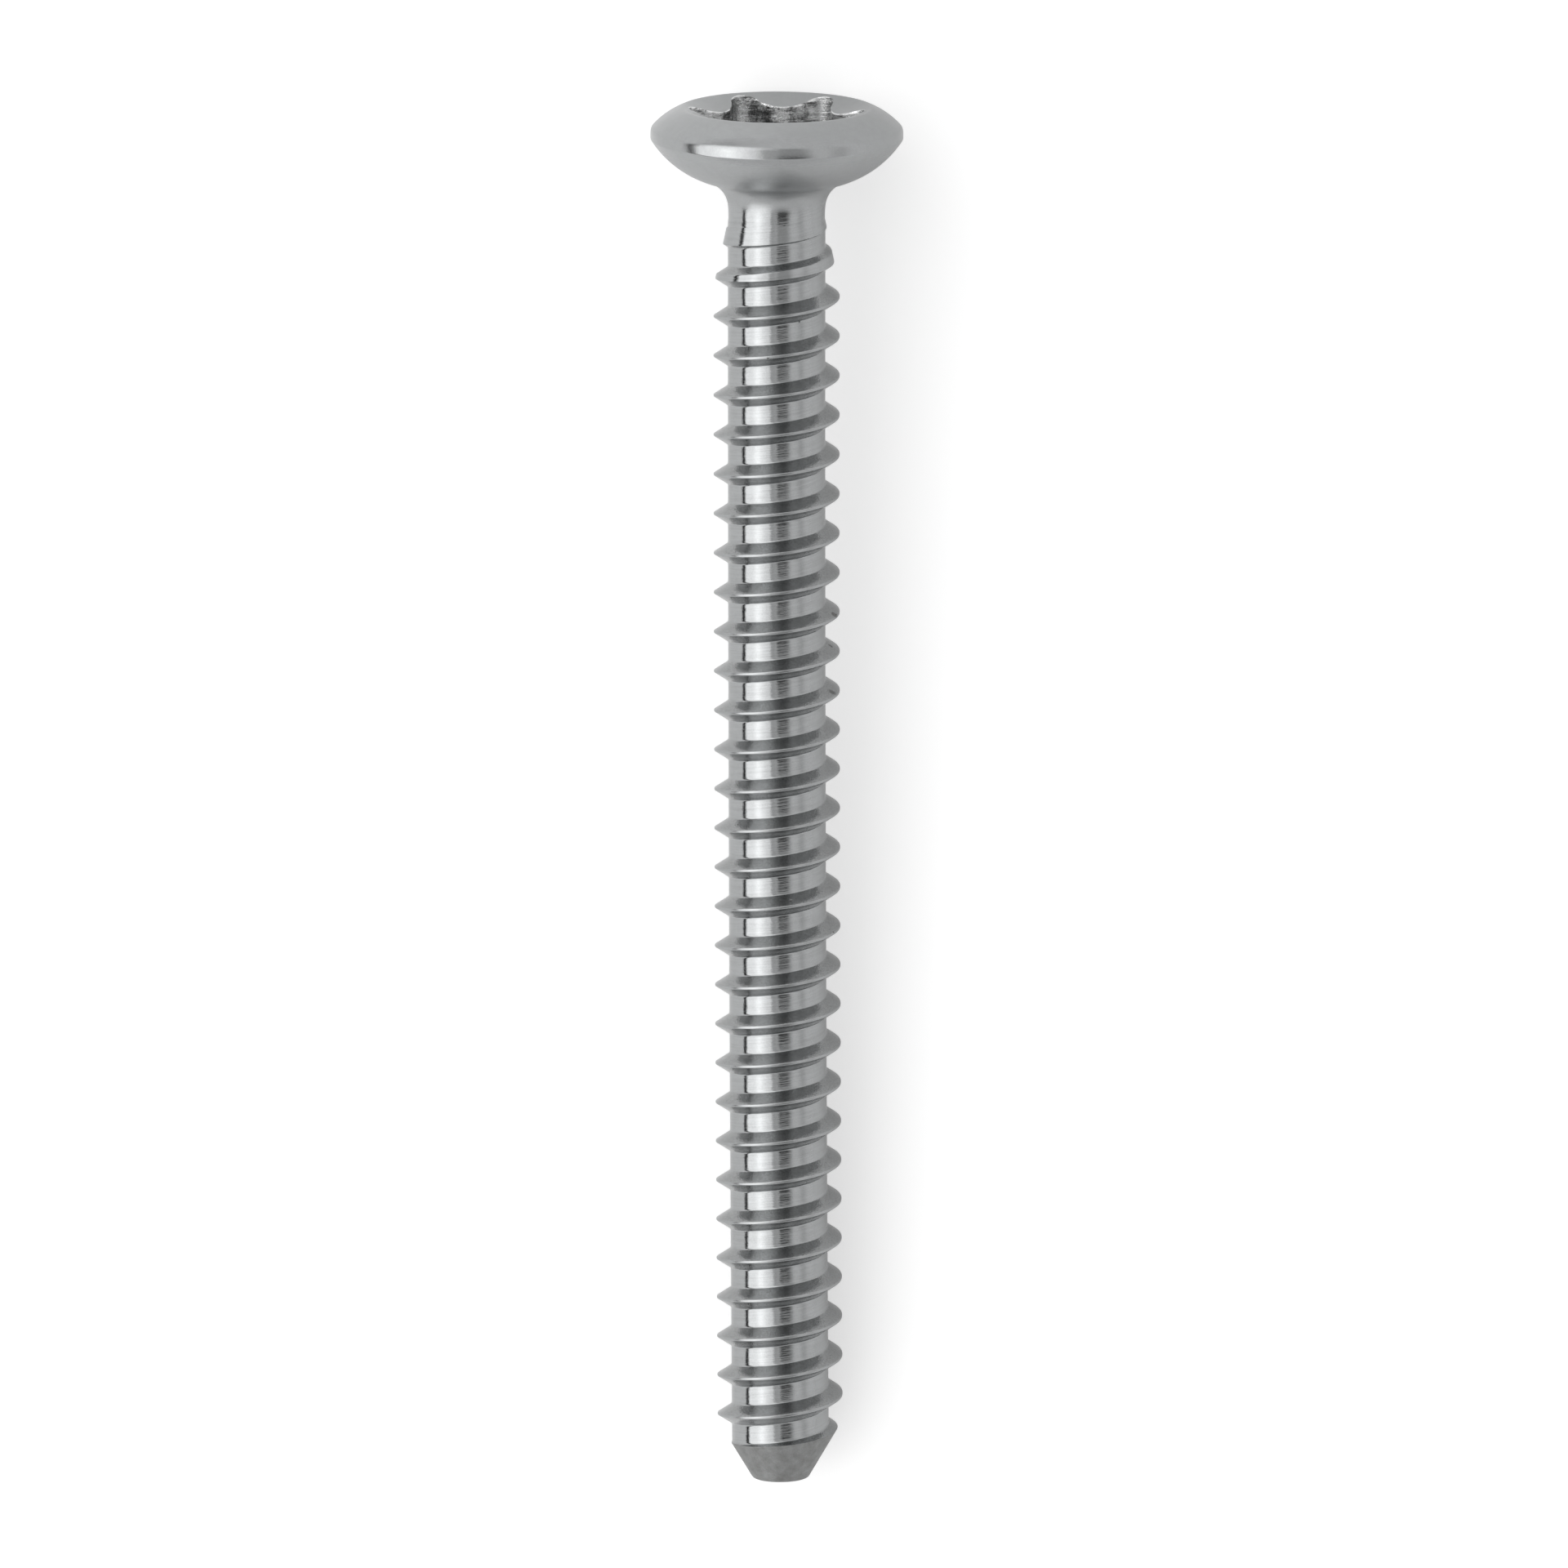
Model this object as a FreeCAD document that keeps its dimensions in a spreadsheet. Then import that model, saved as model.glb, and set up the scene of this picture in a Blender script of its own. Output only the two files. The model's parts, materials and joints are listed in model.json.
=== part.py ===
import FreeCAD, Part
import math
import os
import Sketcher

# A cortical bone screw for small fragments, turned in one piece from bar
# steel. It has a low rounded head with a six-lobe driver recess, a short neck,
# and a right-hand thread that runs out at the neck and that a blunt cone cuts
# off at the tip. It lies on its side, on the rim of its head and on the thread.

os.makedirs("parts", exist_ok=True)
doc = FreeCAD.newDocument("bone_screw")

# Driving dimensions, in millimetres and degrees. The screw is drawn upright
# along its own axis, with heights measured up from the face of the tip.
SIZES = {
    "overall_length": 22.2,
    # head: a crown above the rim and a rounded seat below it
    "head_diameter": 4.0,
    "head_height": 1.25,
    "crown_height": 0.35,
    "crown_radius": 1.2,
    "rim_height": 0.155,
    "ridge_diameter": 2.98,
    "seat_radius": 1.62,
    "neck_fillet": 0.45,
    # driver recess: a wide conical mouth, six lobes and a drilled floor
    "mouth_angle": 140.0,
    "recess_lobes_across": 2.78,
    "recess_bumps_across": 2.0,
    "recess_lobe_round": 0.228,
    "recess_depth": 0.8,
    "recess_turn": -5.0,
    "pilot_diameter": 1.8,
    "pilot_point_angle": 150.0,
    # neck and thread
    "neck_diameter": 1.53,
    "neck_drop": 1.79,
    "runout_angle": 12.2,
    "thread_diameter": 2.0,
    "core_diameter": 1.545,
    "thread_pitch": 0.6353,
    "root_width": 0.304,
    "crest_offset": 0.1,
    # tip
    "tip_angle": 61.0,
    "tip_face_diameter": 0.885,
    "tip_edge_break": 0.05,
}
sheet = doc.addObject("Spreadsheet::Sheet", "Sizes")
for row, (name, value) in enumerate(SIZES.items(), start=1):
    sheet.set(f"A{row}", name)
    sheet.set(f"B{row}", str(value))
    sheet.setAlias(f"B{row}", name)
doc.recompute()

# Radii and heights that several features share, as expressions on the sheet.
CORE = "(Sizes.core_diameter / 2)"
CREST = "(Sizes.thread_diameter / 2)"
NECK = "(Sizes.neck_diameter / 2)"
RIM = "(Sizes.head_diameter / 2)"
RIDGE = "(Sizes.ridge_diameter / 2)"
TIP_FACE = "(Sizes.tip_face_diameter / 2)"
TOP = "Sizes.overall_length"
CROWN_EDGE = "(Sizes.overall_length - Sizes.crown_height)"
SEAT_EDGE = f"({CROWN_EDGE} - Sizes.rim_height)"
SHOULDER = "(Sizes.overall_length - Sizes.head_height)"
NECK_START = "(Sizes.overall_length - Sizes.neck_drop)"
TOOTH_HALF = "((Sizes.thread_pitch - Sizes.root_width) / 2)"
TIP_SLOPE = "tan(Sizes.tip_angle / 2 * 1deg)"
RUNOUT_SLOPE = "tan(Sizes.runout_angle * 1deg)"

# The bar is threaded past both ends of the screw, and cut outside its thread.
OUTSIDE = f"({CREST} + Sizes.thread_pitch)"
BAR_FOOT = "(Sizes.crest_offset - 3 * Sizes.thread_pitch)"
BAR_HEAD = f"({SHOULDER} + 3 * Sizes.thread_pitch)"


def worked_out(expression):
    return float(sheet.evalExpression(expression))


def upright(across, along):
    """A point in the lengthwise plane, beside the screw's axis."""
    return FreeCAD.Vector(across, 0, along)


def polar(reach, degrees):
    angle = math.radians(degrees)
    return FreeCAD.Vector(reach * math.cos(angle), reach * math.sin(angle), 0)


def new_sketch(body, role, name):
    """A sketch on one of the body's own origin planes."""
    sketch = body.newObject("Sketcher::SketchObject", name)
    plane = next(item for item in body.Origin.OriginFeatures if item.Role == role)
    sketch.AttachmentSupport = [(plane, "")]
    sketch.MapMode = "FlatFace"
    sketch.Visibility = False
    return sketch


def bind(sketch, constraint, expression):
    index = sketch.addConstraint(constraint)
    sketch.setExpression(f"Constraints[{index}]", expression)


def place(sketch, geometry, vertex, across, along):
    """Hold a vertex, or a centre, at two distances from the sketch's origin."""
    spot = sketch.getPoint(geometry, vertex)
    bind(sketch, Sketcher.Constraint("DistanceX", -1, 1, geometry, vertex, spot.x), across)
    bind(sketch, Sketcher.Constraint("DistanceY", -1, 1, geometry, vertex, spot.y), along)


def arc_about(centre, radius, first, second):
    """The arc about centre that runs counter-clockwise from first to second."""
    circle = Part.Circle(centre, FreeCAD.Vector(0, 0, 1), radius)
    start, end = (math.atan2(spot.y - centre.y, spot.x - centre.x) for spot in (first, second))
    return Part.ArcOfCircle(circle, start, end)


def arc_between(first, second, radius):
    """The short arc of that radius, counter-clockwise from first to second."""
    chord = second - first
    rise = math.sqrt(radius**2 - (chord.Length / 2) ** 2)
    centre = (first + second) * 0.5 + FreeCAD.Vector(-chord.y, chord.x, 0).normalize() * rise
    return arc_about(centre, radius, first, second)


def turn(body, kind, name, corners, arcs=None):
    """Turn an outline about the screw's axis, to add it or to cut it away.

    corners are pairs of expressions, across and along the axis. arcs gives the
    radius of each side that isn't straight, by the number of its first corner."""
    arcs = arcs or {}
    profile = new_sketch(body, "XZ_Plane", f"{name}_profile")
    spots = [FreeCAD.Vector(worked_out(across), worked_out(along), 0) for across, along in corners]
    for side, first in enumerate(spots):
        second = spots[(side + 1) % len(spots)]
        if side in arcs:
            profile.addGeometry(arc_between(first, second, worked_out(arcs[side])))
        else:
            profile.addGeometry(Part.LineSegment(first, second))
    for side, (across, along) in enumerate(corners):
        following = (side + 1) % len(corners)
        profile.addConstraint(Sketcher.Constraint("Coincident", side, 2, following, 1))
        place(profile, side, 1, across, along)
    for side, radius in arcs.items():
        bind(profile, Sketcher.Constraint("Radius", side, worked_out(radius)), radius)
    feature = body.newObject(kind, name)
    feature.Profile = profile
    feature.ReferenceAxis = (profile, ["V_Axis"])
    feature.Angle = 360
    body.Tip = feature
    doc.recompute()


def dress_ring(body, kind, name, amount, size, across, along):
    """Fillet or chamfer the round edge that lies at one radius and one height."""
    base = body.Tip
    edges = []
    for number, edge in enumerate(base.Shape.Edges, start=1):
        spot = edge.Vertexes[0].Point
        level = edge.BoundBox.ZLength < 1e-4
        near = abs(math.hypot(spot.x, spot.y) - across) + abs(spot.z - along) < 1e-4
        if level and near:
            edges.append(f"Edge{number}")
    feature = body.newObject(kind, name)
    feature.Base = (base, edges)
    feature.setExpression(amount, size)
    body.Tip = feature
    doc.recompute()


# Threaded bar. Three strips make one turn of its skin: the flat root and the
# two flanks of the tooth, each ruled between two right-hand helices. The turns
# run past both ends of the screw, where the skin closes on the axis.
pitch = worked_out("Sizes.thread_pitch")
core = worked_out(CORE)
crest = worked_out(CREST)
tooth_half = worked_out(TOOTH_HALF)
bar_foot = worked_out(BAR_FOOT)
turns = math.ceil((worked_out(BAR_HEAD) - bar_foot) / pitch)
SPANS = 12


def one_turn(radius, height):
    """One turn of a right-hand helix, as a smooth curve through even spans."""
    angles = [2 * math.pi * span / SPANS for span in range(SPANS + 1)]
    rise = pitch / (2 * math.pi)
    curve = Part.BSplineCurve()
    curve.interpolate(
        Points=[
            FreeCAD.Vector(radius * math.cos(a), radius * math.sin(a), height + rise * a) for a in angles
        ],
        Tangents=[FreeCAD.Vector(-radius * math.sin(a), radius * math.cos(a), rise) for a in angles],
        TangentFlags=[True] * len(angles),
        Parameters=angles,
        Scale=False,
    )
    return curve.toShape()


lines = []
for number in range(turns):
    height = bar_foot + number * pitch
    lines += [(core, height - tooth_half), (crest, height), (core, height + tooth_half)]
lines.append((core, bar_foot + turns * pitch - tooth_half))

helices = [one_turn(radius, height) for radius, height in lines]
skin = [Part.makeRuledSurface(lower, upper) for lower, upper in zip(helices, helices[1:])]
for helix, (radius, height) in ((helices[0], lines[0]), (helices[-1], lines[-1])):
    along_axis = Part.makeLine(upright(0, height), upright(0, height + pitch))
    skin.append(Part.makeRuledSurface(along_axis, helix))
first_step = [upright(radius, height) for radius, height in lines[:4]]
last_step = [upright(radius, height + pitch) for radius, height in lines[-4:]]
for step in (first_step, last_step):
    corners = [upright(0, step[0].z), *step, upright(0, step[-1].z)]
    skin.append(Part.Face(Part.makePolygon(corners + corners[:1])))
shell = Part.makeShell(skin)
shell.sewShape(1e-5)

threaded_bar = doc.addObject("Part::Feature", "threaded_bar")
threaded_bar.Shape = Part.Solid(shell)
threaded_bar.Visibility = False

screw = doc.addObject("PartDesign::Body", "bone_screw")
screw.Label = "bone_screw"
screw.BaseFeature = threaded_bar
doc.recompute()

# Tip: a blunt cone with a small flat face, cut through the first turns.
turn(
    screw,
    "PartDesign::Groove",
    "tip",
    [
        ("0", "0"),
        ("0", f"{BAR_FOOT} - Sizes.thread_pitch"),
        (OUTSIDE, f"{BAR_FOOT} - Sizes.thread_pitch"),
        (OUTSIDE, f"({OUTSIDE} - {TIP_FACE}) / {TIP_SLOPE}"),
        (TIP_FACE, "0"),
    ],
)
dress_ring(
    screw, "PartDesign::Chamfer", "tip_edge", "Size", "Sizes.tip_edge_break", worked_out(TIP_FACE), 0
)

# Neck: a plain cylinder, with a cone below it that takes the thread down to it.
turn(
    screw,
    "PartDesign::Groove",
    "neck",
    [
        (NECK, NECK_START),
        (OUTSIDE, f"{NECK_START} - ({OUTSIDE} - {NECK}) / {RUNOUT_SLOPE}"),
        (OUTSIDE, f"{BAR_HEAD} + 2 * Sizes.thread_pitch"),
        ("0", f"{BAR_HEAD} + 2 * Sizes.thread_pitch"),
        ("0", SHOULDER),
        (NECK, SHOULDER),
    ],
)

# Head: a rounded seat up to the rim, a crown above it, and a wide cone that
# sinks from the ridge of the crown to the axis as the mouth of the recess.
turn(
    screw,
    "PartDesign::Revolution",
    "head",
    [
        (NECK, SHOULDER),
        (RIM, SEAT_EDGE),
        (RIM, CROWN_EDGE),
        (RIDGE, TOP),
        ("0", f"{TOP} - {RIDGE} / tan(Sizes.mouth_angle / 2 * 1deg)"),
        ("0", SHOULDER),
    ],
    {0: "Sizes.seat_radius", 2: "Sizes.crown_radius"},
)
dress_ring(
    screw,
    "PartDesign::Fillet",
    "neck_fillet",
    "Radius",
    "Sizes.neck_fillet",
    worked_out(NECK),
    worked_out(SHOULDER),
)

# Driver recess: six round lobes with six round bumps between them. Lobes reach
# the circle across the lobes, bumps reach in to the circle across the bumps,
# and each bump has the radius that makes it tangent to the lobes beside it.
LOBES = 6
HALF_STEP = 180 / LOBES
LOBE = "Sizes.recess_lobe_round"
LOBE_REACH = f"(Sizes.recess_lobes_across / 2 - {LOBE})"
INNER = "(Sizes.recess_bumps_across / 2)"
LEAN = f"({LOBE_REACH} * cos({HALF_STEP}deg))"
BUMP = (
    f"(({LOBE_REACH} ^ 2 + {INNER} ^ 2 - 2 * {LEAN} * {INNER} - {LOBE} ^ 2)"
    f" / (2 * ({LEAN} + {LOBE} - {INNER})))"
)
lobe_radius = worked_out(LOBE)
bump_radius = worked_out(BUMP)
lobe_reach = worked_out(LOBE_REACH)
bump_reach = worked_out(f"{INNER} + {BUMP}")

recess_sketch = new_sketch(screw, "XY_Plane", "recess_profile")
recess_sketch.setExpression("AttachmentOffset.Base.z", TOP)
recess_sketch.setExpression("AttachmentOffset.Rotation.Angle", "Sizes.recess_turn")
for number in range(LOBES):
    heading = 2 * HALF_STEP * number
    lobe = polar(lobe_reach, heading)
    next_lobe = polar(lobe_reach, heading + 2 * HALF_STEP)
    bump_before = polar(bump_reach, heading - HALF_STEP)
    bump = polar(bump_reach, heading + HALF_STEP)
    share = lobe_radius / (lobe_radius + bump_radius)
    start = lobe + (bump_before - lobe) * share
    end = lobe + (bump - lobe) * share
    next_start = next_lobe + (bump - next_lobe) * share
    recess_sketch.addGeometry(arc_about(lobe, lobe_radius, start, end))
    recess_sketch.addGeometry(arc_about(bump, bump_radius, next_start, end))
for number in range(LOBES):
    lobe = 2 * number
    bump = lobe + 1
    next_lobe = (lobe + 2) % (2 * LOBES)
    recess_sketch.addConstraint(Sketcher.Constraint("Tangent", lobe, 2, bump, 2))
    recess_sketch.addConstraint(Sketcher.Constraint("Tangent", bump, 1, next_lobe, 1))
for number in range(LOBES):
    lobe = 2 * number
    heading = f"{2 * HALF_STEP * number}deg"
    place(recess_sketch, lobe, 3, f"{LOBE_REACH} * cos({heading})", f"{LOBE_REACH} * sin({heading})")
    bind(recess_sketch, Sketcher.Constraint("Radius", lobe, lobe_radius), LOBE)
    bind(recess_sketch, Sketcher.Constraint("Radius", lobe + 1, bump_radius), BUMP)
recess = screw.newObject("PartDesign::Pocket", "recess")
recess.Profile = recess_sketch
recess.setExpression("Length", "Sizes.recess_depth")
screw.Tip = recess
doc.recompute()

# Floor of the recess: the shallow cone that the pilot drill leaves.
FLOOR = f"({TOP} - Sizes.recess_depth)"
PILOT = "(Sizes.pilot_diameter / 2)"
turn(
    screw,
    "PartDesign::Groove",
    "pilot",
    [
        ("0", f"{FLOOR} - {PILOT} / tan(Sizes.pilot_point_angle / 2 * 1deg)"),
        (PILOT, FLOOR),
        (PILOT, TOP),
        ("0", TOP),
    ],
)

# At rest the screw lies along Y with its head at the +Y end, on the lower edge
# of the rim and on the thread. There it touches down on the first whole crest,
# or on the turn before it, which the cone of the tip has cut lower. The driver
# recess and the thread keep the turn that they have about the axis in the
# drawing, with the drawing's back side down.
BACK_TURN = 0.25
rim = worked_out(RIM)
seat_edge = worked_out(SEAT_EDGE)
tip_face = worked_out(TIP_FACE)
tip_slope = worked_out(TIP_SLOPE)
flank_slope = (crest - core) / tooth_half
crest_at_back = worked_out("Sizes.crest_offset") + BACK_TURN * pitch
turns_cut = math.ceil(((crest - tip_face) / tip_slope - crest_at_back) / pitch)
whole_crest = crest_at_back + turns_cut * pitch
cut_crest = (crest - tip_face + (whole_crest - pitch) * flank_slope) / (tip_slope + flank_slope)
touching = ((crest, whole_crest), (tip_face + cut_crest * tip_slope, cut_crest))
slope = min((rim - radius) / (seat_edge - height) for radius, height in touching)
tilt = math.degrees(math.atan(slope))
lying = FreeCAD.Rotation(FreeCAD.Vector(1, 0, 0), tilt - 90)
lift = -lying.multVec(FreeCAD.Vector(0, rim, seat_edge)).z
lying_shape = screw.Shape.copy()
lying_shape.Placement = FreeCAD.Placement(FreeCAD.Vector(0, 0, lift), lying)
reach = lying_shape.optimalBoundingBox()
centred = -(reach.YMin + reach.YMax) / 2
screw.Placement = FreeCAD.Placement(FreeCAD.Vector(0, centred, lift), lying)
doc.recompute()

failed = [item.Name for item in doc.Objects if {"Invalid", "Error"} & set(item.State)]
if failed:
    raise RuntimeError(f"not worked out: {failed}")
if screw.Shape.isNull() or not screw.Shape.isValid() or len(screw.Shape.Solids) != 1:
    raise RuntimeError("the screw isn't one valid solid")
screw.Shape.exportStep(f"parts/{screw.Label}.step")
print(f"{screw.Label}: {screw.Shape.Volume:.3f} cubic mm, lies at {tilt:.2f} degrees")
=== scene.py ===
import json
import math

import bpy
from mathutils import Matrix, Vector


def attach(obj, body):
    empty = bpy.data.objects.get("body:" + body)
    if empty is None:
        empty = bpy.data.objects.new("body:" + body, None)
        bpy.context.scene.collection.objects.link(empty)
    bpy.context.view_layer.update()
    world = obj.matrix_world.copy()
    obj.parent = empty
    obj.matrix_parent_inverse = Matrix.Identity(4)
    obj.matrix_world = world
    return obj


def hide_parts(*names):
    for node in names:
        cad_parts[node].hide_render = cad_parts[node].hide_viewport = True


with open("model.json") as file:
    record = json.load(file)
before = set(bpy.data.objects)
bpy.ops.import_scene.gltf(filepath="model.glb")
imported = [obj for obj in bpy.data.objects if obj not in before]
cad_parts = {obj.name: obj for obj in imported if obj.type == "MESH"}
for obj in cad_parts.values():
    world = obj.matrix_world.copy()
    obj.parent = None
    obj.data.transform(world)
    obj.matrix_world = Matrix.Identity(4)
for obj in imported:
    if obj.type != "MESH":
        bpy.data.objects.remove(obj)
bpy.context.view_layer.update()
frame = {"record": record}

# Bone screw. A cortical screw for small fragments, turned in one piece from a
# bar of implant steel. Its skin is one closed surface, made ring by ring from
# the face of the tip to the floor of the driver recess. Sizes are millimetres.
MM = 0.001
COLUMNS = 96


class Skin:
    """Points and faces of the screw, upright on its own axis, tip down."""

    def __init__(self):
        self.points = []
        self.faces = []

    def point(self, angle, radius, height):
        self.points.append((radius * math.cos(angle), radius * math.sin(angle), height))
        return len(self.points) - 1

    def ring(self, angles, radii, heights):
        return [self.point(*spot) for spot in zip(angles, radii, heights)]

    def face(self, *corners):
        kept = [corner for number, corner in enumerate(corners) if corner != corners[number - 1]]
        if len(kept) > 2:
            self.faces.append(kept)

    def join(self, lower, upper):
        """A band of faces between two rings with the same number of points."""
        for number, (low, high) in enumerate(zip(lower, upper)):
            self.face(lower[number - 1], low, high, upper[number - 1])

    def climb(self, ring, angles, outline):
        """Rings at each (radius, height) of an outline, from the given ring on."""
        for radius, height in outline:
            above = self.ring(angles, [radius] * len(angles), [height] * len(angles))
            self.join(ring, above)
            ring = above
        return ring


def eased(outline, corner, reach, steps=4):
    """An outline of (radius, height) with one of its corners made round."""
    before, spot, after = (Vector(outline[corner + step]) for step in (-1, 0, 1))
    start = spot + (before - spot).normalized() * reach
    end = spot + (after - spot).normalized() * reach
    curve = []
    for step in range(steps + 1):
        share = step / steps
        curve.append(tuple(start.lerp(spot, share).lerp(spot.lerp(end, share), share)))
    return outline[:corner] + curve + outline[corner + 1 :]


def divided(outline, longest):
    """The same outline with extra points on its long straights."""
    spots = [outline[0]]
    for first, second in zip(outline, outline[1:]):
        parts = math.ceil(math.dist(first, second) / longest)
        spots += [tuple(Vector(first).lerp(Vector(second), part / parts)) for part in range(1, parts + 1)]
    return spots


skin = Skin()
evenly = [2 * math.pi * column / COLUMNS for column in range(COLUMNS)]

# Tip. A blunt cone of 61 degrees with a small flat face, cut through the first
# turns of the thread. Deburring has left the edge of the face round.
TIP_FACE = 0.4425
TIP_SLOPE = math.tan(math.radians(61.0 / 2))
TIP_EASE = 0.05
TIP_STEP = 0.08
FACE_RING = 0.2
CONE_END = 0.56


def tip_cone(height):
    return TIP_FACE + height * TIP_SLOPE


tip = eased([(0.0, 0.0), (TIP_FACE, 0.0), (tip_cone(CONE_END), CONE_END)], 1, TIP_EASE, steps=6)
tip = divided(tip[1:], TIP_STEP)
face_ring = skin.ring(evenly, [FACE_RING] * COLUMNS, [0.0] * COLUMNS)
middle = skin.point(0, 0, 0)
for number, spot in enumerate(face_ring):
    skin.face(spot, face_ring[number - 1], middle)
top_ring = skin.climb(face_ring, evenly, tip)

# Thread. Right-hand with one start, whirled with a form tool that leaves a flat
# root, straight flanks and a narrow crest. The cone of the tip cuts it off at
# one end, and a long shallow cone takes it down to the neck at the other.
PITCH = 0.6353
CREST = 1.0
CORE = 0.7725
ROOT_WIDTH = 0.304
CREST_OFFSET = 0.1
HALF_LAND = 0.018
CREST_EASE = 0.012
ROOT_EASE = 0.025
NECK = 0.765
NECK_START = 20.41
RUNOUT_SLOPE = math.tan(math.radians(12.2))
FIRST_WHOLE = 1.0
LAST_WHOLE = 19.25
CONE_STEP = 0.016
THREAD_STEP = 0.12
RUNOUT_STEP = 0.025

tooth = [(CREST, 0.0), (CREST, HALF_LAND), (CORE, (PITCH - ROOT_WIDTH) / 2), (CORE, PITCH / 2)]
tooth = eased(tooth, 1, CREST_EASE, steps=3)
tooth = eased(tooth, len(tooth) - 2, ROOT_EASE, steps=4)


def runout_cone(height):
    return max(NECK + (NECK_START - height) * RUNOUT_SLOPE, NECK)


def uncut(height):
    return 2 * CREST


def soft_min(first, second, width=0.008):
    overlap = max(width - abs(first - second), 0.0)
    return min(first, second) - overlap * overlap / (4 * width)


def threaded(lower, low, high, longest, cut):
    """Thread from one ring up to another, under the outline that cuts it.

    Rows follow the helix. A row that reaches a ring ends on it, and the row
    next to the edge of the cut is moved onto that edge."""
    half = divided(tooth, longest)
    upward = [(height, radius) for radius, height in half[:-1]]
    downward = [(-height, radius) for height, radius in reversed(upward[1:])]
    whole = [(-PITCH / 2, CORE), *downward, *upward]
    turns = range(math.floor(low / PITCH) - 3, math.ceil(high / PITCH) + 3)
    rows = [(turn * PITCH + height, radius) for turn in turns for height, radius in whole]
    columns = []
    for column, angle in enumerate(evenly):
        rise = CREST_OFFSET + PITCH * column / COLUMNS
        spots = [(height + rise, radius) for height, radius in rows]
        proud = [radius - cut(height) for height, radius in spots]
        edge = set()
        for row, (here, after) in enumerate(zip(proud, proud[1:])):
            if (here > 0) != (after > 0):
                share = here / (here - after)
                height = spots[row][0] + share * (spots[row + 1][0] - spots[row][0])
                spots[row + round(share)] = (height, cut(height))
                edge.add(row + round(share))
        spots = [(height, soft_min(radius, cut(height))) for height, radius in spots]
        margin = 0.004
        first = next(row for row, spot in enumerate(spots) if spot[0] > low + margin)
        last = next(row for row, spot in enumerate(spots) if spot[0] > high - margin) - 1
        (below, from_radius), (above, to_radius) = spots[last], spots[last + 1]
        share = min((high - below) / (above - below), 1.0)
        end = skin.point(angle, from_radius + share * (to_radius - from_radius), high)
        inner = [skin.point(angle, radius, height) for height, radius in spots[first : last + 1]]
        numbers = [lower[column]] * first + inner + [end] * (len(spots) - last - 1)
        columns.append((numbers, edge))
    numbers, edge = columns[0]
    turn_up = numbers[len(whole) :] + numbers[-1:] * len(whole)
    columns.append((turn_up, {row - len(whole) for row in edge}))
    for (left, left_edge), (right, right_edge) in zip(columns, columns[1:]):
        for row in range(len(left) - 1):
            corners = left[row], right[row], right[row + 1], left[row + 1]
            if row in left_edge and row + 1 in right_edge:
                skin.face(*corners[:3])
                skin.face(corners[0], *corners[2:])
            elif row + 1 in left_edge and row in right_edge:
                skin.face(*corners[:2], corners[3])
                skin.face(*corners[1:])
            else:
                skin.face(*corners)
    return [numbers[-1] for numbers, _ in columns[:-1]]


top_ring = threaded(top_ring, CONE_END, FIRST_WHOLE, CONE_STEP, tip_cone)
top_ring = threaded(top_ring, FIRST_WHOLE, LAST_WHOLE, THREAD_STEP, uncut)
top_ring = threaded(top_ring, LAST_WHOLE, NECK_START, RUNOUT_STEP, runout_cone)

# Outline of the driver recess. Six round lobes with six round bumps between
# them, broached for a six-lobe driver. The columns of the head start from its
# points, so that its walls and the ridge above them line up.
LOBES = 6
LOBE_STEPS = 12
BUMP_STEPS = 20
LOBE_ROUND = 0.228
LOBE_REACH = 2.78 / 2 - LOBE_ROUND
INNER = 2.0 / 2
RECESS_TURN = math.radians(-5.0)
half_step = math.pi / LOBES
lean = LOBE_REACH * math.cos(half_step)
bump_round = (LOBE_REACH**2 + INNER**2 - 2 * lean * INNER - LOBE_ROUND**2) / (
    2 * (lean + LOBE_ROUND - INNER)
)
bump_reach = INNER + bump_round
lobe_half = math.atan2(bump_reach * math.sin(half_step), bump_reach * math.cos(half_step) - LOBE_REACH)
bump_half = lobe_half - half_step

recess = []
for lobe in range(LOBES):
    heading = RECESS_TURN + 2 * half_step * lobe
    for reach, size, half_sweep, steps in (
        (LOBE_REACH, LOBE_ROUND, lobe_half, LOBE_STEPS),
        (bump_reach, -bump_round, -bump_half, BUMP_STEPS),
    ):
        for step in range(steps):
            angle = heading + half_sweep * (2 * step / steps - 1)
            recess.append(
                (
                    reach * math.cos(heading) + size * math.cos(angle),
                    reach * math.sin(heading) + size * math.sin(angle),
                )
            )
        heading += half_step
recess = sorted((math.atan2(y, x) % (2 * math.pi), math.hypot(x, y)) for x, y in recess)
spokes = [angle for angle, _ in recess]
walls = [radius for _, radius in recess]

# Head. A short neck runs through a fillet into a seat turned to one radius. A
# narrow plain rim parts the seat from the crown, which rises to a rounded ridge,
# and inside the ridge a wide cone sinks to the recess.
TOP = 22.2
RIM = 2.0
RIDGE = 1.49
CROWN_EDGE = TOP - 0.35
SEAT_EDGE = CROWN_EDGE - 0.155
SHOULDER = TOP - 1.25
SEAT_ROUND = 1.62
CROWN_ROUND = 1.2
NECK_FILLET = 0.45
NECK_FLARE = 2.0
FLARE_SWEEP = math.radians(5.0)
MOUTH_FALL = 1 / math.tan(math.radians(140.0 / 2))
MOUTH_START = 0.08
RIDGE_EASE = 0.045
RIM_TOP_EASE = 0.05
RIM_LOW_EASE = 0.015
NECK_RING_RISE = 0.005


def centre_of_arc(first, second, radius):
    """The centre of the short arc that runs counter-clockwise between two points."""
    chord = Vector(second) - Vector(first)
    rise = math.sqrt(radius**2 - (chord.length / 2) ** 2)
    return (Vector(first) + Vector(second)) / 2 + Vector((-chord.y, chord.x)).normalized() * rise


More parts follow.
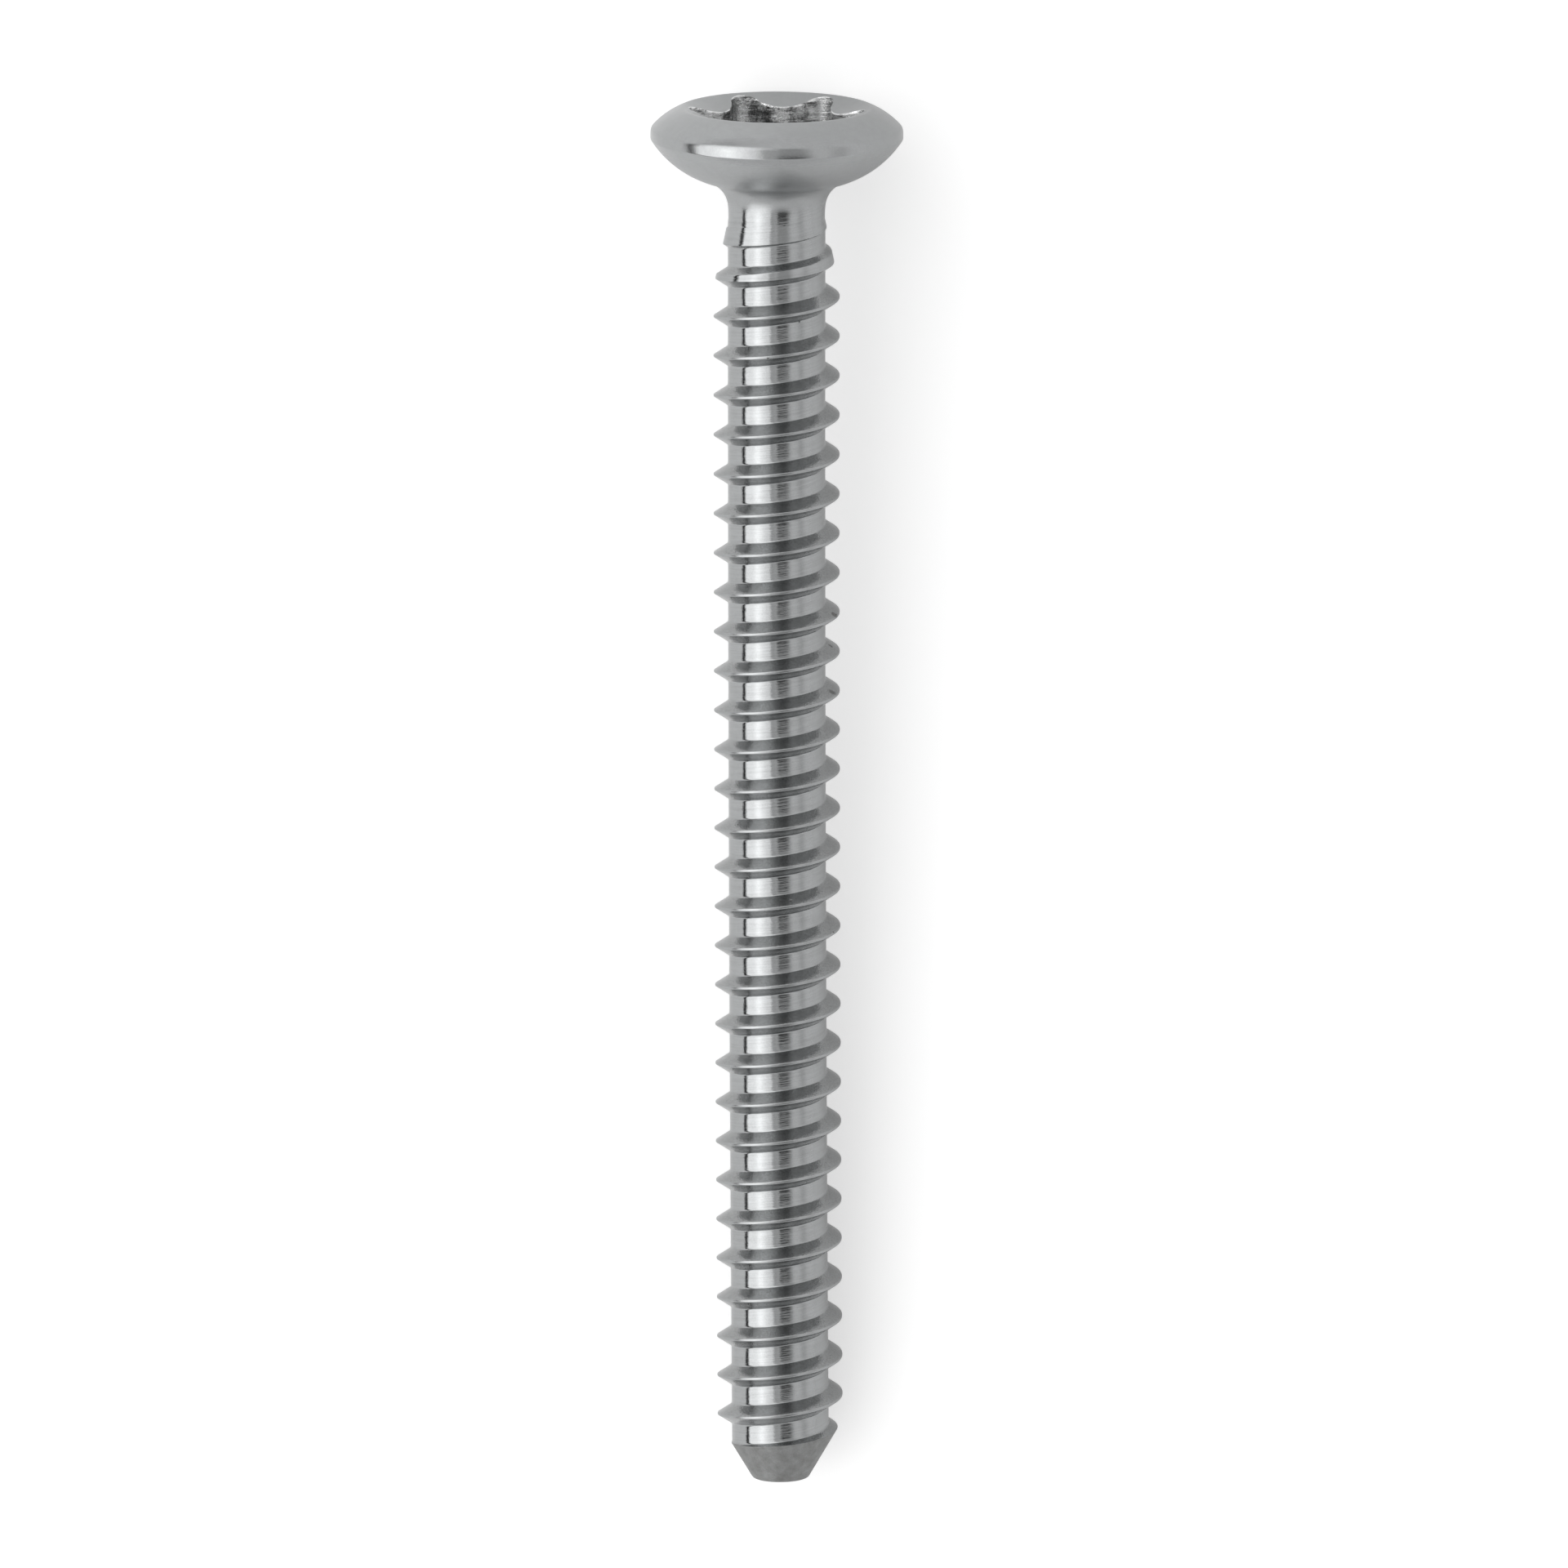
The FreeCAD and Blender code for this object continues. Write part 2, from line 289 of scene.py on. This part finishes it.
def along_arc(centre, radius, start, end, steps):
    """Points on an arc between two angles."""
    angles = [start + (end - start) * step / steps for step in range(steps + 1)]
    return [(centre.x + radius * math.cos(angle), centre.y + radius * math.sin(angle)) for angle in angles]


def heading_of(spot, centre):
    return math.atan2(spot[1] - centre.y, spot[0] - centre.x)


seat_centre = centre_of_arc((NECK, SHOULDER), (RIM, SEAT_EDGE), SEAT_ROUND)
crown_centre = centre_of_arc((RIM, CROWN_EDGE), (RIDGE, TOP), CROWN_ROUND)
fillet_across = NECK + NECK_FLARE * (1 - math.cos(FLARE_SWEEP)) + NECK_FILLET * math.cos(FLARE_SWEEP)
fillet_drop = math.sqrt((SEAT_ROUND + NECK_FILLET) ** 2 - (fillet_across - seat_centre.x) ** 2)
fillet_centre = Vector((fillet_across, seat_centre.y - fillet_drop))
flare_way = Vector((math.cos(FLARE_SWEEP), -math.sin(FLARE_SWEEP)))
flare_centre = fillet_centre + flare_way * (NECK_FLARE - NECK_FILLET)
seat_start = heading_of(fillet_centre, seat_centre)

flare = along_arc(flare_centre, NECK_FLARE, math.pi, math.pi - FLARE_SWEEP, 5)
fillet = along_arc(fillet_centre, NECK_FILLET, math.pi - FLARE_SWEEP, seat_start + math.pi, 12)
fillet = flare[:-1] + fillet
seat = along_arc(seat_centre, SEAT_ROUND, seat_start, heading_of((RIM, SEAT_EDGE), seat_centre), 16)
crown = along_arc(
    crown_centre,
    CROWN_ROUND,
    heading_of((RIM, CROWN_EDGE), crown_centre),
    heading_of((RIDGE, TOP), crown_centre),
    12,
)
inside = (RIDGE - MOUTH_START, TOP - MOUTH_START * MOUTH_FALL)
head = [*fillet, *seat[1:], *crown, inside]
head = eased(head, len(head) - 2, RIDGE_EASE, steps=5)
head = eased(head, len(fillet) + len(seat) - 1, RIM_TOP_EASE)
head = eased(head, len(fillet) + len(seat) - 2, RIM_LOW_EASE)

neck_ring = skin.ring(spokes, [NECK] * len(spokes), [NECK_START + NECK_RING_RISE] * len(spokes))
ring_turn = 2 * math.pi
low = high = 0
while low < COLUMNS or high < len(spokes):
    low_spot, high_spot = top_ring[low % COLUMNS], neck_ring[high % len(spokes)]
    next_low = (evenly + [ring_turn])[min(low + 1, COLUMNS)] if low < COLUMNS else math.inf
    next_high = (spokes + [spokes[0] + ring_turn])[high + 1] if high < len(spokes) else math.inf
    if next_low <= next_high:
        low += 1
        skin.face(low_spot, top_ring[low % COLUMNS], high_spot)
    else:
        high += 1
        skin.face(low_spot, neck_ring[high % len(spokes)], high_spot)
ridge_ring = skin.climb(neck_ring, spokes, head)

# Driver recess. Its edge lies on the cone inside the ridge and is broken a
# little. Its walls go straight down to a flat floor round the shallow cone that
# the pilot drill left.
EDGE_BREAK = 0.012
FLOOR = TOP - 0.8
FLOOR_ROUND = 0.03
PILOT = 0.9
PILOT_FALL = 1 / math.tan(math.radians(150.0 / 2))


def mouth_cone(radius):
    return TOP - (RIDGE - radius) * MOUTH_FALL


last_ring = ridge_ring
for share in (0.3, 0.6, 0.85, 1.0):
    radii = [inside[0] + share * (wall + EDGE_BREAK - inside[0]) for wall in walls]
    next_ring = skin.ring(spokes, radii, [mouth_cone(radius) for radius in radii])
    skin.join(last_ring, next_ring)
    last_ring = next_ring
outside_faces = len(skin.faces)
for share in (0.0, 0.04, 0.2, 0.4, 0.6, 0.8, 1.0):
    heights = [
        (1 - share) * (mouth_cone(wall) - EDGE_BREAK) + share * (FLOOR + FLOOR_ROUND) for wall in walls
    ]
    next_ring = skin.ring(spokes, walls, heights)
    skin.join(last_ring, next_ring)
    last_ring = next_ring
for inset, rise in ((0.009, 0.009), (0.03, 0.0)):
    next_ring = skin.ring(spokes, [wall - inset for wall in walls], [FLOOR + rise] * len(spokes))
    skin.join(last_ring, next_ring)
    last_ring = next_ring
pilot = [(radius, FLOOR - (PILOT - radius) * PILOT_FALL) for radius in (PILOT, 0.88, 0.6, 0.3)]
last_ring = skin.climb(last_ring, spokes, pilot)
middle = skin.point(0, 0, FLOOR - PILOT * PILOT_FALL)
for number, spot in enumerate(last_ring):
    skin.face(last_ring[number - 1], spot, middle)

# The screw at rest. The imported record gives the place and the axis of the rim, on
# which the screw lies with its thread on the floor and its head at the +Y end. Use
# has left its ends bowed to the right by a few hundredths of a millimetre.
BOW = 0.026
rim_mount = next(mount for mount in frame["record"]["mounts"] if mount["name"] == "head_rim")
headward = Vector(rim_mount["axis"])
lying = (
    Matrix.Translation(rim_mount["pos_m"])
    @ Matrix.Rotation(math.asin(headward.z) - math.pi / 2, 4, "X")
    @ Matrix.Translation((0, 0, -(SEAT_EDGE + CROWN_EDGE) / 2 * MM))
)


def bowed(x, y, z):
    """A point of the straight screw, moved and turned with its length by the bow."""
    share = 2 * z / TOP - 1
    return Vector((x + BOW * share**2, y, z - x * 4 * BOW * share / TOP))


mesh = bpy.data.meshes.new("bone_screw_skin")
mesh.from_pydata([lying @ (bowed(*spot) * MM) for spot in skin.points], [], skin.faces)
mesh.shade_smooth()
mesh.set_sharp_from_angle(angle=math.radians(35))
screw = bpy.data.objects.new("bone_screw_skin", mesh)
bpy.context.scene.collection.objects.link(screw)
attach(screw, "root")
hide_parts("bone_screw")


class Wire:
    """The output of a shader node. Arithmetic on wires adds Math nodes."""

    def __init__(self, tree, socket=None):
        self.tree = tree
        self.socket = socket

    def node(self, kind, settings, inputs, output=0):
        """A node of any kind: its settings first, then values or links."""
        made = self.tree.nodes.new(kind)
        for name, value in settings.items():
            setattr(made, name, value)
        for name, value in inputs.items():
            if isinstance(value, Wire):
                self.tree.links.new(value.socket, made.inputs[name])
            else:
                made.inputs[name].default_value = value
        return Wire(self.tree, made.outputs[output])

    def maths(self, operation, *values, clamp=False):
        settings = {"operation": operation, "use_clamp": clamp}
        return self.node("ShaderNodeMath", settings, dict(enumerate(values)))

    def __add__(self, other):
        return self.maths("ADD", self, other)

    __radd__ = __add__

    def __sub__(self, other):
        return self.maths("SUBTRACT", self, other)

    def __rsub__(self, other):
        return self.maths("SUBTRACT", other, self)

    def __mul__(self, other):
        return self.maths("MULTIPLY", self, other)

    __rmul__ = __mul__

    def __truediv__(self, other):
        return self.maths("DIVIDE", self, other)

    def between(self, low, high):
        """0 below low, 1 above high, and a smooth step from one to the other."""
        return self.node(
            "ShaderNodeMapRange",
            {"interpolation_type": "SMOOTHSTEP"},
            {"Value": self, "From Min": low, "From Max": high},
        )

    def part(self, axis):
        return self.node("ShaderNodeSeparateXYZ", {}, {0: self}, axis)


def joined(x, y, z):
    wire = next(value for value in (x, y, z) if isinstance(value, Wire))
    return wire.node("ShaderNodeCombineXYZ", {}, {0: x, 1: y, 2: z})


def noise(spot, scale, detail, roughness=0.5):
    """Noise from 0 to 1 about the middle of one half."""
    settings = {"noise_dimensions": "3D"}
    values = {"Vector": spot, "Scale": scale, "Detail": detail, "Roughness": roughness}
    return spot.node("ShaderNodeTexNoise", settings, values)


def tinted(wire, amount, plain, other):
    """A colour between two, by an amount from 0 to 1."""
    settings = {"data_type": "RGBA"}
    return wire.node("ShaderNodeMix", settings, {0: amount, 6: plain, 7: other}, 2)


def on_screw(name):
    """A new metal, with a place on the screw upright on its axis, in millimetres."""
    metal = bpy.data.materials.new(name)
    metal.use_nodes = True
    tree = metal.node_tree
    shader = tree.nodes["Principled BSDF"]
    shader.inputs["Metallic"].default_value = 1.0
    start = Wire(tree)
    upright = lying.inverted()
    place = start.node(
        "ShaderNodeMapping",
        {},
        {
            "Vector": start.node("ShaderNodeTexCoord", {}, {}, 3),
            "Location": upright.translation / MM,
            "Rotation": upright.to_euler(),
            "Scale": (1 / MM, 1 / MM, 1 / MM),
        },
    )
    return metal, shader, place


def radius_of(x, y):
    square = x * x + y * y
    return square.maths("SQRT", square)


def lean_of(place):
    """How far a surface faces the head: 1 towards it, -1 towards the tip."""
    normal = place.node("ShaderNodeNewGeometry", {}, {}, 1)
    return place.node("ShaderNodeVectorMath", {"operation": "DOT_PRODUCT"}, {0: normal, 1: headward}, 1)


def dress(metal, shader, colour, rough, relief):
    """Gives a metal its colour, its roughness and the height of its marks."""
    links = metal.node_tree.links
    links.new(colour.socket, shader.inputs["Base Color"])
    links.new(rough.socket, shader.inputs["Roughness"])
    bump = relief.node("ShaderNodeBump", {}, {"Strength": 1.0, "Distance": MM, "Height": relief})
    links.new(bump.socket, shader.inputs["Normal"])


# Turned finish. The root of the thread and the neck are bright, with fine tool
# lines along them. The flanks are grained, the crest, head and seat are duller, and
# the cone of the tip is matt. The flanks and the cone are also painted darker,
# painted shade for the dimmer light they would reflect. Handling has left a few
# small dents.
FILLET_LOW = 20.55
FILLET_HIGH = 20.75
turned, shader, place = on_screw("turned_steel_and_painted_shade")
height = place.part(2)
share = height * (2 / TOP) - 1
x = place.part(0) - share * share * BOW
y = place.part(1)
radius = radius_of(x, y)
turn = x.maths("ARCTAN2", x, 0 - y)
along = height - turn * (PITCH / (2 * math.pi))
lean = lean_of(place)
steep = lean.maths("ABSOLUTE", lean).between(0.55, 0.75)
head_share = height.between(FILLET_LOW, FILLET_HIGH)
rim_share = height.between(SEAT_EDGE - 0.01, SEAT_EDGE)
rim_share = rim_share * (1 - height.between(CROWN_EDGE, CROWN_EDGE + 0.01))
cone_share = (radius - TIP_FACE - height * TIP_SLOPE).between(-0.012, -0.004)
cone_share = cone_share * (1 - height.between(0.95, 1.1))
flank_share = steep * (1 - head_share) * (1 - cone_share)
smooth_share = 1 - flank_share - head_share - cone_share

lines = noise(joined(x * 1.4, y * 1.4, along * 34), 1.0, 3.0, 0.6)
chatter = noise(joined(x * 4, y * 4, height * 7), 1.0, 2.0)
grain = noise(place, 42.0, 3.0, 0.7)
blotches = noise(place, 7.0, 4.0, 0.6)

DENTS = (
    ((0.93, -0.31, 14.10), 0.085),
    ((0.86, -0.10, 13.55), 0.05),
    ((0.90, -0.32, 12.87), 0.095),
    ((0.89, -0.44, 8.97), 0.022),
    ((0.37, -0.68, 18.87), 0.02),
    ((-0.12, -0.98, 18.33), 0.025),
    ((0.215, -0.877, 9.58), 0.02),
)
dents = None
for spot, size in DENTS:
    away = place.node("ShaderNodeVectorMath", {"operation": "DISTANCE"}, {0: place, 1: spot}, 1)
    dent = 1 - (away + (grain - 0.5) * (size * 0.9)).between(size * 0.3, size)
    dents = dent if dents is None else dents + dent

# Painted shade: the colour is darkened on the flanks and on the cone of the tip, for the dimmer light they
# reflect.
shade = 0.08 + 0.2 * flank_share + 0.62 * cone_share + 0.9 * dents
shade = shade + (lines - 0.5) * smooth_share * 0.6 + (grain - 0.5) * (1.7 * flank_share + 0.4)
shade = shade.maths("ADD", shade, (blotches - 0.5) * (0.25 + 0.6 * cone_share), clamp=True)
colour = tinted(place, shade, (0.44, 0.45, 0.455, 1), (0.19, 0.19, 0.185, 1))
rough = 0.05 + 0.04 * lines + 0.02 * flank_share + 0.17 * head_share + 0.36 * cone_share + 0.2 * dents
crest_share = radius.between(0.975, 0.99) * smooth_share
seat_share = head_share * (1 - height.between(SEAT_EDGE - 0.3, SEAT_EDGE - 0.02))
rough = rough - 0.07 * rim_share + 0.1 * seat_share + 0.17 * crest_share
relief = (
    (lines - 0.5) * (0.0036 * smooth_share + 0.0004 * head_share)
    + (chatter - 0.5) * (0.0028 - 0.0014 * head_share)
    + (grain - 0.5) * (0.0003 + 0.0018 * flank_share + 0.0022 * cone_share + 0.0004 * head_share)
    - dents * 0.02
)
dress(turned, shader, colour, rough, relief)

# Broached finish with painted glints. The walls of the recess keep level marks from
# the broach and upright scratches, and the floor keeps the rings of the drill.
# These marks also swing the colour from near white, far brighter than the steel
# outside, to near black: painted glints and painted shade laid over the real marks.
broached, shader, place = on_screw("broached_steel_and_painted_glints")
x = place.part(0)
y = place.part(1)
height = place.part(2)
radius = radius_of(x, y)
lean = lean_of(place)
floor_share = lean.between(0.6, 0.9)
wall_marks = noise(joined(x * 2.2, y * 2.2, height * 26), 1.0, 4.0, 0.6)
ring_marks = noise(joined(x * 0.6, y * 0.6, radius * 30), 1.0, 3.0, 0.6)
marks = wall_marks * (1 - floor_share) + ring_marks * floor_share
streaks_and_glints = noise(joined(x * 3, y * 3, height * 0.5), 1.0, 1.0)
grain = noise(place, 26.0, 3.0, 0.7)
# Painted glints and painted shade: the marks mix the colour between near white, far above the steel's own,
# and near black.
shade = (marks * 0.4 + grain * 0.25 + streaks_and_glints * 0.35).between(0.46, 0.60)
colour = tinted(place, shade, (0.88, 0.885, 0.885, 1), (0.10, 0.10, 0.10, 1))
rough = 0.13 + 0.14 * marks
relief = (marks - 0.5) * 0.008 + (grain - 0.5) * 0.004
dress(broached, shader, colour, rough, relief)

mesh.materials.append(turned)
mesh.materials.append(broached)
for face in mesh.polygons[outside_faces:]:
    face.material_index = 1

# Floor. A pale sheet of matt paper, brighter to the eye than the light alone makes
# it, so that only the screw's own shadow shows. Its left half also glows in the
# metal's reflections, a painted reflection that brightens the screw's left side.
HALF_SHEET = 0.6
corners = [(HALF_SHEET * x, HALF_SHEET * y, 0) for x, y in ((-1, -1), (1, -1), (1, 1), (-1, 1))]
sheet_mesh = bpy.data.meshes.new("paper_floor")
sheet_mesh.from_pydata(corners, [], [(0, 1, 2, 3)])
sheet = bpy.data.objects.new("paper_floor", sheet_mesh)
bpy.context.scene.collection.objects.link(sheet)
paper = bpy.data.materials.new("pale_paper")
paper.use_nodes = True
shader = paper.node_tree.nodes["Principled BSDF"]
shader.inputs["Base Color"].default_value = (0.8, 0.8, 0.8, 1)
shader.inputs["Roughness"].default_value = 0.9
shader.inputs["Specular IOR Level"].default_value = 0.1
shader.inputs["Emission Strength"].default_value = 1.0
start = Wire(paper.node_tree)
path = start.node("ShaderNodeLightPath", {}, {})
rays = path.socket.node.outputs
camera_ray, glossy_ray, clear_ray = (
    Wire(paper.node_tree, rays[name]) for name in ("Is Camera Ray", "Is Glossy Ray", "Is Transmission Ray")
)
# Painted reflection: the left half of the sheet glows more in glossy and transmission rays.
left_share = 1 - start.node("ShaderNodeNewGeometry", {}, {}).part(0).between(-0.004, 0.004)
seen = camera_ray + (glossy_ray + clear_ray) * left_share * 0.35
glow = tinted(seen, seen, (0, 0, 0, 1), (0.4, 0.4, 0.4, 1))
paper.node_tree.links.new(glow.socket, shader.inputs["Emission Color"])
sheet_mesh.materials.append(paper)

# Studio. A grey room with one wide softbox on the left of the screw, a dark gap
# and a dim frame at the softbox's sides, and a dark band with a core before the screw.
scene = bpy.context.scene
rightward = Vector((1, 0, 0))
DEGREES = 180 / math.pi
toward = lying.to_3x3() @ Vector((0, -1, 0))

room = bpy.data.worlds.new("studio")
scene.world = room
room.use_nodes = True
start = Wire(room.node_tree)
ray = start.node("ShaderNodeTexCoord", {}, {}, 0)


def share_of(direction):
    return ray.node("ShaderNodeVectorMath", {"operation": "DOT_PRODUCT"}, {0: ray, 1: direction}, 1)


turn = ray.maths("ARCTAN2", share_of(rightward), share_of(toward)) * DEGREES
rise = ray.maths("ARCSINE", share_of(headward)) * DEGREES


def bell(centre_turn, centre_rise, wide, tall):
    """1 at a direction, falling off smoothly round it."""
    across = (turn - centre_turn) / wide
    along = (rise - centre_rise) / tall
    return ray.maths("POWER", math.e, 0 - across * across - along * along)


box = turn.between(-80, -78) * (1 - turn.between(-16.5, -13)) * rise.between(-68, -38)
box = box * (1 - rise.between(46, 66))
hot = bell(-46, -5, 9, 34)
fade = turn.between(-38, -16)
gap = turn.between(-94, -91) * (1 - turn.between(-82, -80)) * (1 - rise.between(20, 40))
gap_top = bell(-84, 56, 24, 13)
frame_edge = turn.between(-17, -13.5) * (1 - turn.between(-2, 2))
frame_edge = frame_edge * rise.between(-64, -28) * (1 - rise.between(16, 30))
front = turn.between(0, 3) * (1 - turn.between(20, 38))
band = front * rise.between(-56, -38) * (1 - rise.between(34, 60))
core = front * rise.between(-32, -24) * (1 - rise.between(-14, -9.5))
side_dim = bell(60, -15, 9, 60)
level = 0.82 * (1 - 0.22 * side_dim) * (1 - 0.42 * band) * (1 - 0.8 * core)
level = level * (1 - 0.95 * gap) * (1 - 0.6 * gap_top) * (1 - 0.24 * frame_edge)
level = level * (0.86 + 0.14 * rise.between(-75, -45)) + box * (0.88 + 0.5 * hot - 0.4 * fade)

path = start.node("ShaderNodeLightPath", {}, {}).socket.node
direct = Wire(room.node_tree, path.outputs["Is Camera Ray"])
level = level * (1 - direct) + direct * 0.97
shade = joined(level, level, level)
background = room.node_tree.nodes["Background"]
room.node_tree.links.new(shade.socket, background.inputs["Color"])

# Camera. It looks down on the lying screw from the side that faces it, and from
# a little towards the head, through a long lens.
SENSOR = 36.0
PICTURE_PIXELS = 1920
FOCAL_PIXELS = 30200
DISTANCE = 392
AIM_ASIDE = 0.1095
AIM_UP = 11.286
LOOK_UP = math.radians(11.18)
ROLL = math.radians(0.159)
lens = bpy.data.cameras.new("camera")
lens.sensor_width = SENSOR
lens.lens = SENSOR * FOCAL_PIXELS / PICTURE_PIXELS
lens.clip_start = 0.01
lens.clip_end = 10.0
camera = bpy.data.objects.new("camera", lens)
scene.collection.objects.link(camera)
scene.camera = camera
aim = lying @ Vector((AIM_ASIDE * MM, 0, AIM_UP * MM))
back = toward * math.cos(LOOK_UP) + headward * math.sin(LOOK_UP)
right = headward.cross(back).normalized()
above = back.cross(right)
right, above = (
    right * math.cos(ROLL) - above * math.sin(ROLL),
    above * math.cos(ROLL) + right * math.sin(ROLL),
)
facing = Matrix((right, above, back)).transposed().to_4x4()
camera.matrix_world = Matrix.Translation(aim + back * DISTANCE * MM) @ facing

scene.view_settings.view_transform = "Standard"
